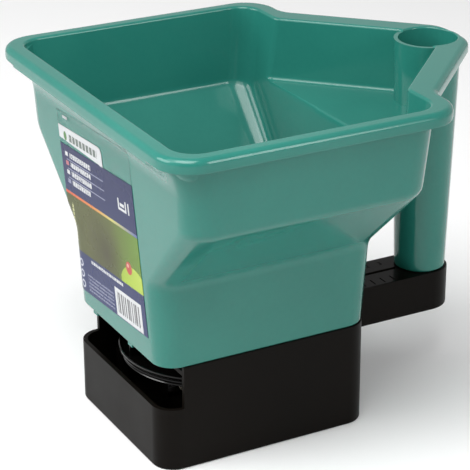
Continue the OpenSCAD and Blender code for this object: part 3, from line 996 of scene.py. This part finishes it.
def housing_outline(inset):
    half, front, rear = housing_half - inset, housing_front + inset, HOUSING_REAR - inset
    return rounded_outline([(-half, front), (half, front), (half, rear), (-half, rear)],
                           [HOUSING_CORNER - inset] * 4)


def arm_outline(inset):
    half, end = arm_radius - inset, tube_y + arm_radius - inset
    return rounded_outline([(-half, ARM_START), (half, ARM_START), (half, end), (-half, end)],
                           [0.2, 0.2, half - 0.1, half - 0.1])


print("housing:", round(2 * housing_half, 1), "mm wide,", round(HOUSING_REAR - housing_front, 1), "mm deep")

# %% Sleeve and arm
sleeve_path = [(EDGE, 0), (0.25, 0.2), (0, EDGE), (0, joint_z - EDGE), (0.25, joint_z - 0.2),
               (EDGE, joint_z), (WALL - 0.5, joint_z), (WALL, joint_z - 0.5), (WALL, 0.5), (WALL - 0.5, 0)]
sleeve = Skin(at_level(housing_outline(sleeve_path[0][0]), sleeve_path[0][1]))
for inset, z in sleeve_path[1:]:
    sleeve.grow(at_level(housing_outline(inset), z))
sleeve.close()
bmesh.ops.recalc_face_normals(sleeve.mesh, faces=sleeve.mesh.faces[:])
arm_path = [(2.2, joint_z - 2.2), (2.2, ARM_BOTTOM + 0.5), (1.8, ARM_BOTTOM), (0.6, ARM_BOTTOM),
            (0.15, ARM_BOTTOM + 0.2), (0, ARM_BOTTOM + 0.7), (0, joint_z - EDGE), (0.25, joint_z - 0.22),
            (EDGE, joint_z - 0.02)]
arm = Skin(at_level(arm_outline(arm_path[0][0]), arm_path[0][1]))
arm.cap()
for inset, z in arm_path[1:]:
    arm.grow(at_level(arm_outline(inset), z))
arm.cap()
bmesh.ops.recalc_face_normals(arm.mesh, faces=arm.mesh.faces[:])
housing = as_object(sleeve.mesh, "housing_moulding")
combine(housing, arm.mesh, "UNION")
print("housing sleeve and arm joined:", len(housing.data.polygons), "faces")

# %% [markdown]
# One set of blocks makes all the straight cuts at once: the notch in front, the slider's slot, the
# shutter's way through the rear wall and five scale marks. The crank's bush sits in a round hole.

# %% Cuts in the housing
SILL, NOTCH_REAR = 35.6, -41.3
SLOT_FRONT, SLOT_REAR, SLOT_HALF = 78.0, 123.6, 1.3
FIRST_MARK, MARK_STEP, MARK_WIDE = 87.9, 6.45, 0.8
CRANK_HEIGHT, BUSH_RADIUS = 18.5, 7.02
cuts = bmesh.new()
block(cuts, (-80, 80), (housing_front - 20, NOTCH_REAR), (SILL, joint_z + 20))
block(cuts, (-SLOT_HALF, SLOT_HALF), (SLOT_FRONT, SLOT_REAR), (joint_z - 8, joint_z + 8))
block(cuts, (-5.2, 5.2), (HOUSING_REAR - 6, HOUSING_REAR + 4), (54.2, 57.5))
for step in range(5):
    mark = FIRST_MARK + MARK_STEP * step
    block(cuts, (7.7, 13.9), (mark, mark + MARK_WIDE), (joint_z - 0.5, joint_z + 1))
combine(housing, cuts, "DIFFERENCE")
bush_seat = turned([(0, -60), (BUSH_RADIUS, -60), (BUSH_RADIUS, -48), (0, -48)], (0, 0, CRANK_HEIGHT),
                   "X", 48)
combine(housing, bush_seat, "DIFFERENCE")
soften(housing, 0.28, 50)
print("housing after its cuts:", len(housing.data.polygons), "faces")

# %% [markdown]
# The scale's figures are cut next to its marks. They are made as flat text, turned into a mesh,
# thickened and sunk into the deck, so they are real grooves and not just a dark colour.


# %% Figures of the scale
FIGURE_SIZE, FIGURE_DEPTH = 5.6, 0.5
FIRST_FIGURE, FIGURE_STEP, FIGURES = 99.6, 8.6, 3


def figure(number, x, y):
    curve = bpy.data.curves.new("figure", "FONT")
    curve.body = str(number)
    curve.size = FIGURE_SIZE * MM
    curve.extrude = FIGURE_DEPTH * MM
    curve.resolution_u = 3
    made = bpy.data.objects.new("figure", curve)
    bpy.context.scene.collection.objects.link(made)
    shape = bmesh.new()
    shape.from_mesh(meshed(made))
    bmesh.ops.remove_doubles(shape, verts=shape.verts[:], dist=MERGE)
    quarter_turn = Matrix.Rotation(math.radians(90), 4, "Z")
    place = Matrix.Translation(Vector((x, y, joint_z)) * MM) @ quarter_turn
    bmesh.ops.transform(shape, matrix=place, verts=shape.verts[:])
    bmesh.ops.recalc_face_normals(shape, faces=shape.faces[:])
    bpy.data.objects.remove(made)
    return shape


for number in range(FIGURES):
    combine(housing, figure(number + 1, -7.4, FIRST_FIGURE + FIGURE_STEP * number), "DIFFERENCE")
print("figures cut:", FIGURES)

# %% [markdown]
# Inside, a panel over the spinner carries the shutter between two rails, two shelves take the rear
# screws, and four posts take the floor screws. They lie against the sleeve from inside and can only
# be seen through the notch or from below, so they join the mesh as they are, without a boolean.

# %% Panel and shelves inside the housing
PANEL_LOW, PANEL_HIGH = 54.0, 56.5
SHELF_NEAR, SHELF_FAR, SHELF_FRONT, SHELF_REAR = 33, 53.3, 47, 71.1
RAIL = 3
ribs = bmesh.new()
inner_half = housing_half - 1.0
block(ribs, (-inner_half, inner_half), (NOTCH_REAR + 0.02, 26.7), (PANEL_LOW, PANEL_HIGH))
for x in (-31.4, 28.4):
    block(ribs, (x, x + RAIL), (NOTCH_REAR + 0.02, 70.5), (PANEL_HIGH - 0.1, joint_z - 0.2))
panel = as_object(ribs, "ribs")
for side in (-1, 1):
    corners = [(SHELF_NEAR, SHELF_FRONT), (SHELF_FAR, SHELF_FRONT), (SHELF_FAR, SHELF_REAR),
               (SHELF_NEAR, SHELF_REAR)]
    cuts_back = [0.3, 0.3, 11.4, 0.3]
    if side < 0:
        corners, cuts_back = [(-x, y) for x, y in reversed(corners)], cuts_back[::-1]
    shelf_outline = rounded_outline(corners, cuts_back)
    shelf = Skin(at_level(shelf_outline, PANEL_LOW))
    shelf.cap()
    shelf.grow(at_level(shelf_outline, PANEL_HIGH))
    shelf.cap()
    bmesh.ops.recalc_face_normals(shelf.mesh, faces=shelf.mesh.faces[:])
    combine(panel, shelf.mesh, "UNION")
openings = bmesh.new()
for x in (6.5, -25.5):
    block(openings, (x, x + 19), (-32, -5), (50, 60))
combine(panel, openings, "DIFFERENCE")
combine(panel, turned([(0, 50), (SHAFT_HOLE, 50), (SHAFT_HOLE, 60), (0, 60)], steps=48), "DIFFERENCE")
print("panel and shelves:", len(panel.data.polygons), "faces")

# %% Posts for the floor screws
POST_RADIUS, POST_LOW, POST_HIGH = 4, 2.7, 24.7
inner = bmesh.new()
inner.from_mesh(panel.data)
bpy.data.objects.remove(panel)
for x in (-45, 45):
    for y in (-30, 62):
        turned([(0, POST_LOW), (POST_RADIUS, POST_LOW), (POST_RADIUS, POST_HIGH), (0, POST_HIGH)],
               (x, y, 0), steps=32, mesh=inner)
attach(housing, as_object(inner, "inner"))
smooth(housing, 35)
dress(housing, "frame", black_finish, "black_plastic", "base_housing")

# %% [markdown]
# ## The spinner
# Seed falls on the spinner and its four vanes throw it out through the notch. It is one moulding:
# a dish with three beads round its rim, spun from a half section, with thin upright vanes on top.

# %% Spinner dish
BORE = 3.05
under_rim = [(BORE, 34), (8, 34), (8, 39), (40, 39), (44.2, 36.9)]
low_bead = [(45.6, 36.6), (46.3, 36.7), (46.6, 37.2), (46.3, 37.7), (45.5, 37.9), (45.3, 38.4)]
middle_bead = [(46.5, 38.6), (47.2, 38.9), (47.4, 39.4), (47.2, 39.9), (46.6, 40.1), (46.6, 40.9)]
top_bead = [(47.9, 41.5), (48.4, 41.7), (48.65, 42.4), (48.45, 43.1), (47.9, 43.4), (47.4, 43.2)]
hub = [(46, 41.2), (9.4, 41.2), (8.4, 42.2), (7, 49.2), (6.7, 49.5), (BORE, 49.5), (BORE, 34)]
dish = turned(under_rim + low_bead + middle_bead + top_bead + hub, steps=128)
spinner = as_object(dish, "spinner_moulding")
print("spinner dish:", len(spinner.data.polygons), "faces")

# %% Spinner vanes
VANES, VANE_HALF, VANE_SET = 4, 0.8, math.radians(-6)
for number in range(VANES):
    vane = bmesh.new()
    block(vane, (6.6, 45), (-VANE_HALF, VANE_HALF), (40.8, 49))
    bmesh.ops.bevel(vane, geom=vane.edges[:], offset=0.25 * MM, offset_type="OFFSET", segments=2, profile=0.5,
                    affect="EDGES", material=-1)
    turn = Matrix.Rotation(math.tau * number / VANES + VANE_SET, 3, "Z")
    bmesh.ops.rotate(vane, verts=vane.verts[:], cent=(0, 0, 0), matrix=turn)
    combine(spinner, vane, "UNION")
smooth(spinner, 32)
dress(spinner, "spinner", gloss_black_finish, "black_plastic", "spinner_disc")

# %% [markdown]
# ## Smaller mouldings
# The slider, the crank, its knob and the stirrer are simple shapes already. A copy of the frame's
# own solid is merged and its sharp edges get a fine bevel, which is what makes a small plastic part
# look moulded when light runs along it.


# %% Soften copies of the small parts
SLIGHT_BEND = math.radians(0.6)


def softened_copy(node, name, body, material, width):
    shape = bmesh.new()
    shape.from_mesh(frame["nodes"][node].data)
    bmesh.ops.remove_doubles(shape, verts=shape.verts[:], dist=2 * MERGE)
    bmesh.ops.dissolve_limit(shape, angle_limit=SLIGHT_BEND, verts=shape.verts[:], edges=shape.edges[:])
    piece = as_object(shape, name)
    soften(piece, width, 42)
    smooth(piece, 34)
    dress(piece, body, material, "black_plastic", node)


softened_copy("thumb_slider", "thumb_slider_moulding", "shutter", black_finish, 0.3)
softened_copy("crank_arm", "crank_arm_moulding", "crank", black_finish, 0.5)
softened_copy("crank_knob", "crank_knob_moulding", "knob", black_finish, 0.4)
softened_copy("knob_cap", "knob_cap_moulding", "knob", gloss_black_finish, 0.3)
softened_copy("agitator", "stirrer_moulding", "spinner", black_finish, 0.3)
softened_copy("floor_cover", "floor_cover_moulding", "frame", black_finish, 0.3)

# %% [markdown]
# Everything else keeps the frame's own solid and takes the finish of the material slot that the
# frame's record gives it: steel for shafts, clips, pins, screws and rivets, natural plastic for
# bushes and gears, and black plastic for the shutter and the gear bracket.

# %% Finish the remaining nodes
slot_finish = {"steel": steel_finish, "natural_plastic": natural_finish, "black_plastic": black_finish}
slots = {part["node"]: part["material_slot"] for part in frame["record"]["subparts"]}
for name, node in frame["nodes"].items():
    if node.hide_render:
        continue
    node.data.materials.clear()
    node.data.materials.append(slot_finish[slots[name]])
print("nodes with their own solids:", sum(not n.hide_render for n in frame["nodes"].values()))

# %% [markdown]
# ## Floor, light and camera
# The tool stands on a pale floor in an even, bright studio. A large soft light from the front left
# makes the label side lighter than the long side. A weaker one from the right draws a line of light
# along the rim, one overhead brightens the floor, and a small card above the mouth fills the inside.

# %% Floor
ground = bmesh.new()
bmesh.ops.create_grid(ground, x_segments=1, y_segments=1, size=6.0)
floor = as_object(ground, "floor")
floor.data.transform(Matrix.Translation((0, 0, -0.3 * MM)))
pale = Finish("pale_floor", Roughness=0.9)
pale.drive("Base Color", pale.mix(pale.noise(3, 2), rgb(250, 250, 250), rgb(247, 247, 247)))
floor.data.materials.append(pale.material)

# %% [markdown]
# The room is a soft grey that gets darker towards the top. Glossy walls mirror it, so one side of
# the room is darker still, and that draws a long dark band down the round tube.

# %% The room
ROOM_DARK = Vector((0.874, -0.486, 0.0))


def tone(value):
    return value, value, value, 1


world = bpy.data.worlds.new("studio")
world.use_nodes = True
room = Network(world.node_tree)
toward = room.node("TexCoord", output="Generated")
rise = room.split(toward)[2]
sky = room.node("ValToRGB", {"stops": [(0.1, tone(0.64)), (0.8, tone(0.36))]}, {0: rise})
facing = room.node("VectorMath", {"operation": "DOT_PRODUCT"}, {0: toward, 1: ROOM_DARK}, output="Value")
dark_side = room.node("ValToRGB", {"stops": [(0.8, tone(1)), (0.96, tone(0.25))]}, {0: facing})
both = room.mix(1.0, sky, dark_side, "MULTIPLY")
room.tree.links.new(both.socket, room.tree.nodes["Background"].inputs["Color"])
bpy.context.scene.world = world
print("room: darker towards", [round(value, 2) for value in ROOM_DARK])


# %% Studio light
def soft_light(name, place, target, size, power):
    lamp = bpy.data.lights.new(name, "AREA")
    lamp.shape = "RECTANGLE"
    lamp.size, lamp.size_y = size
    lamp.energy = power
    holder = bpy.data.objects.new(name, lamp)
    bpy.context.scene.collection.objects.link(holder)
    holder.location = place
    holder.rotation_euler = (Vector(target) - Vector(place)).to_track_quat("-Z", "Y").to_euler()
    return holder


soft_light("front_window", (-0.5, -1.5, 1.0), (0, 0, 0.12), (1.3, 0.9), 20)
soft_light("side_window", (1.5, 0.75, 0.85), (0, 0, 0.1), (0.35, 0.9), 7)
soft_light("ceiling_window", (0.45, -0.55, 1.6), (0, 0.04, 0.15), (1.0, 1.0), 19)
fill_card = soft_light("fill_card", (0.1, -0.12, 0.36), (-0.08, 0.06, 0.17), (0.2, 0.2), 0.3)
fill_card.visible_camera = False
print("lights: world, three soft windows and a fill card")

# %% [markdown]
# The camera stands about a metre away with a long lens, so the walls hardly narrow with distance. It
# looks from the side and a little from above. A slight shift places the tool in the frame without
# turning the camera.

# %% Camera
AIM = Vector((0, 35.3, 93.4)) * MM
AROUND, ABOVE, TWIST = math.radians(60.91), math.radians(23.69), math.radians(0.18)
AWAY = 1094.5 * MM
LENS = 152.15
SHIFT_ACROSS, SHIFT_UP = -0.0582, 0.0174
backward = Vector((math.sin(AROUND) * math.cos(ABOVE), -math.cos(AROUND) * math.cos(ABOVE), math.sin(ABOVE)))
level_right = Vector((math.cos(AROUND), math.sin(AROUND), 0))
level_up = backward.cross(level_right)
right = level_right * math.cos(TWIST) + level_up * math.sin(TWIST)
upward = backward.cross(right)
camera = bpy.data.objects.new("camera", bpy.data.cameras.new("camera"))
camera.data.lens = LENS
camera.data.sensor_width = 36
camera.data.shift_x = SHIFT_ACROSS
camera.data.shift_y = SHIFT_UP
camera.data.clip_end = 50
turned_to = Matrix((right, upward, backward)).transposed().to_4x4()
camera.matrix_world = Matrix.Translation(AIM + backward * AWAY) @ turned_to
bpy.context.scene.collection.objects.link(camera)
bpy.context.scene.camera = camera
bpy.context.scene.view_settings.view_transform = "Standard"
print("camera stands", round(AWAY, 3), "m away")
